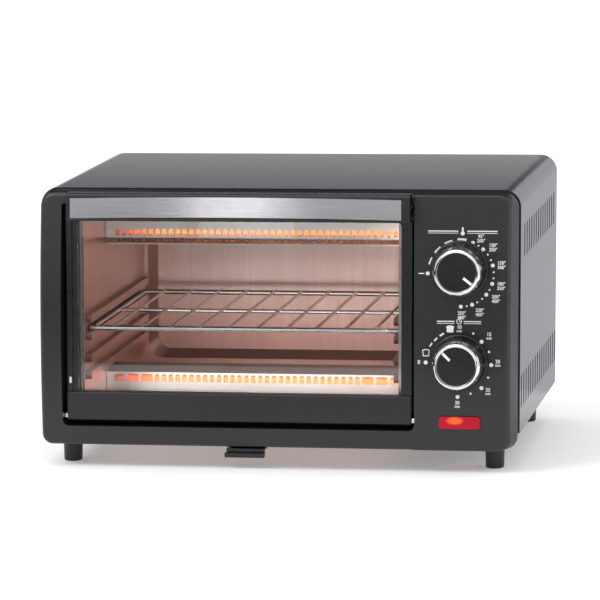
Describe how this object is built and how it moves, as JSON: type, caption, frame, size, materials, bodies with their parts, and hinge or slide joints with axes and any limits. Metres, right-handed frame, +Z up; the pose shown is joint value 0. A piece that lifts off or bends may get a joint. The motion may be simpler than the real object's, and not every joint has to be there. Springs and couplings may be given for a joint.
{
  "type": "toaster oven",
  "caption": "Compact counter-top toaster oven: drop-down glass door with a bar handle, side column of rotary controls, slotted sheet housing, wire rack, heater guards and a hinged crumb tray.",
  "frame": {"origin": "on the table, under the middle of the whole oven's bounding box", "axes": "+X to the right as seen from the front, along the width; -Y is the front, where the door faces; +Z up"},
  "size_m": [0.365, 0.2732, 0.2113],
  "materials": {
    "housing_paint": "satin powder coat",
    "frame_plastic": "fine-grained satin moulding",
    "black_sheet": "satin black coat",
    "aluminised_steel": "dull aluminised sheet",
    "guard_steel": "satin aluminised sheet",
    "zinc_steel": "bright zinc plate",
    "trim_steel": "brushed lengthwise",
    "chrome": "bright plate",
    "quartz": "frosted heater tube",
    "glowing_wire": "red-hot resistance wire",
    "ceramic": "unglazed steatite",
    "glass": "clear tempered",
    "knob_black": "satin black",
    "black_gloss": "semi-gloss black",
    "rubber": "matt",
    "foot_plastic": "satin black",
    "brass": "turned",
    "cream_phenolic": "moulded phenolic",
    "red_lens": "clear red, ribbed inside",
    "neon": "lit neon capsule",
    "white_mark": "white insert",
    "wire_sleeve": "braided glass sleeve",
    "black_screw": "black oxide"
  },
  "bodies": {
    "oven": {"outer_housing": "housing_paint", "front_bezel": "frame_plastic", "rear_panel": "black_sheet", "base_panel": "black_sheet", "front_face_frame": "aluminised_steel", "cavity_left_wall": "aluminised_steel", "cavity_right_wall": "aluminised_steel", "cavity_roof": "aluminised_steel", "cavity_back": "aluminised_steel", "rack_guides": "aluminised_steel", "upper_heater_guard": "guard_steel", "lower_heater_guard": "guard_steel", "upper_heater_tube": "quartz", "lower_heater_tube": "quartz", "heater_coils": "glowing_wire", "heater_end_caps": "ceramic", "heater_terminals": "zinc_steel", "control_bracket": "zinc_steel", "thermostat": "cream_phenolic", "thermostat_bushing": "brass", "timer": "zinc_steel", "timer_bushing": "brass", "timer_bell": "zinc_steel", "indicator_lens": "red_lens", "indicator_lamp": "neon", "terminal_block": "ceramic", "internal_wires": "wire_sleeve", "cord_gland": "rubber", "feet": "foot_plastic", "foot_screws": "zinc_steel", "rear_screws": "black_screw", "control_nuts": "zinc_steel", "hinge_bracket_left": "zinc_steel", "hinge_bracket_right": "zinc_steel", "tray_hinge_rod": "zinc_steel", "door_springs": "zinc_steel"},
    "door": {"door_frame": "knob_black", "door_glass": "glass", "glass_clips": "zinc_steel", "door_kick_panel": "frame_plastic", "door_buffer": "white_mark", "door_handle": "black_gloss", "handle_trim": "trim_steel", "hinge_pins": "zinc_steel", "handle_screws": "zinc_steel"},
    "rack": {"wire_rack": "chrome"},
    "crumb_tray": {"crumb_tray": "aluminised_steel", "crumb_tray_tab": "knob_black"},
    "temperature_knob": {"temperature_knob": "knob_black", "temperature_knob_ring": "chrome", "temperature_pointer": "white_mark", "temperature_shaft": "zinc_steel"},
    "timer_knob": {"timer_knob": "knob_black", "timer_knob_ring": "chrome", "timer_pointer": "white_mark", "timer_shaft": "zinc_steel"}
  },
  "joints": [
    {"name": "door_hinge", "type": "hinge", "parent": "oven", "child": "door", "pos_m": [-0.028, -0.1054, 0.0386], "axis": [1, 0, 0], "range_deg": [0, 90], "stiffness_Nm_per_rad": 0.1, "springref_deg": -28.65},
    {"name": "rack_slide", "type": "slide", "parent": "oven", "child": "rack", "axis": [0, -1, 0], "range_m": [0, 0.06]},
    {"name": "crumb_tray_hinge", "type": "hinge", "parent": "oven", "child": "crumb_tray", "pos_m": [-0.0295, 0.1106, 0.0236], "axis": [1, 0, 0], "range_deg": [0, 75]},
    {"name": "temperature_turn", "type": "hinge", "parent": "oven", "child": "temperature_knob", "pos_m": [0.14, -0.0954, 0.155], "axis": [0, 1, 0], "range_deg": [-218, 52]},
    {"name": "timer_turn", "type": "hinge", "parent": "oven", "child": "timer_knob", "pos_m": [0.14, -0.0954, 0.0849], "axis": [0, 1, 0], "range_deg": [-45, 225]}
  ],
  "couplings": [
    {"joint": "rack_slide", "follows": "door_hinge", "m_per_rad": 0.038}
  ]
}
